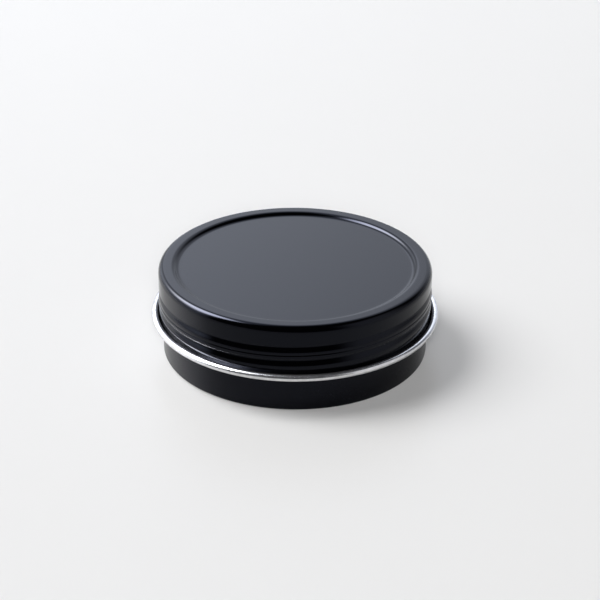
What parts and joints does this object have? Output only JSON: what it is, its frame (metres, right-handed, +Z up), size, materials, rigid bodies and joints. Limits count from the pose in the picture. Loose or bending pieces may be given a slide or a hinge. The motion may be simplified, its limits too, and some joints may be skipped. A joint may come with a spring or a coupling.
{
  "type": "shoe polish tin",
  "caption": "Shallow round black tin of shoe polish with a screw lid: recessed top panel, rolled thread, bright outward-rolled lid edge, foam liner and a cast wax cake.",
  "frame": {"origin": "centre of the cup's flat underside, on the axis of the lid's thread", "axes": "+Z up along the thread's axis, out of the lid; X and Y lie in the underside"},
  "size_m": [0.0718, 0.0718, 0.0229],
  "materials": {
    "lid_lacquer": "gloss",
    "cup_lacquer": "satin",
    "foam": "matte",
    "polish_wax": "satin"
  },
  "bodies": {
    "base": {"base_cup": "cup_lacquer", "polish_cake": "polish_wax"},
    "liner": {"lid_liner": "foam"},
    "lid": {"lid_shell": "lid_lacquer"}
  },
  "joints": [
    {"name": "lid_rise", "type": "slide", "parent": "base", "child": "liner", "axis": [0, 0, 1], "range_m": [0, 0.0145]},
    {"name": "lid_turn", "type": "hinge", "parent": "liner", "child": "lid", "pos_m": [0, 0, 0.01005], "axis": [0, 0, 1], "range_deg": [0, 1440]}
  ],
  "couplings": [
    {"joint": "lid_rise", "follows": "lid_turn", "m_per_rad": 0.00057296}
  ]
}
